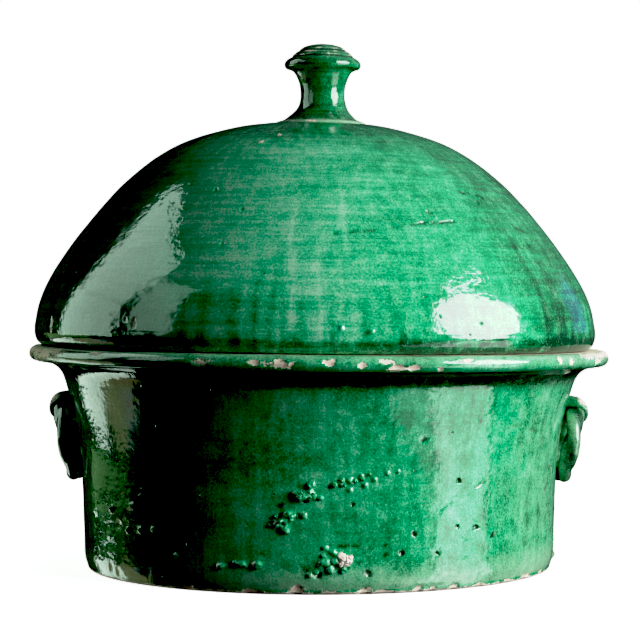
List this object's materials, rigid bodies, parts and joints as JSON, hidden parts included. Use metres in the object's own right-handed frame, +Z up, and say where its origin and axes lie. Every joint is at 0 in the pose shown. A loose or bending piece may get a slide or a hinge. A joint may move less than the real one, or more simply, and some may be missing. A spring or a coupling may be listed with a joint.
{
  "type": "covered casserole dish",
  "caption": "Round flat-footed casserole dish of green-glazed earthenware, with a flanged rim, ring handles fused to its sides and a high domed lid that lifts off by its turned knob.",
  "frame": {"origin": "centre of the flat foot that the dish stands on", "axes": "+Z up through the knob; +X towards the right-hand ring handle; -Y is the front, where the fused crumbs are"},
  "size_m": [0.3799, 0.38, 0.3454],
  "materials": {
    "pot_glaze": "glossy translucent copper-green lead glaze over pink-cream earthenware",
    "handle_glaze": "glossy copper-green lead glaze, pooled dark between the strands",
    "lid_glaze": "glossy copper-green lead glaze with fine turning lines and drips",
    "knob_glaze": "glossy copper-green lead glaze, worn to cream on its edges",
    "bare_clay": "matt unglazed pink earthenware"
  },
  "bodies": {
    "pot": {"pot_body": "pot_glaze", "right_ring_handle": "handle_glaze", "right_handle_lug": "handle_glaze", "left_ring_handle": "handle_glaze", "left_handle_lug": "handle_glaze", "fused_crumbs": "bare_clay"},
    "lid": {"lid_dome": "lid_glaze", "lid_knob": "knob_glaze"}
  },
  "joints": [
    {"name": "lid_lift", "type": "slide", "parent": "pot", "child": "lid", "axis": [0, 0, 1], "range_m": [0, 0.2]}
  ]
}
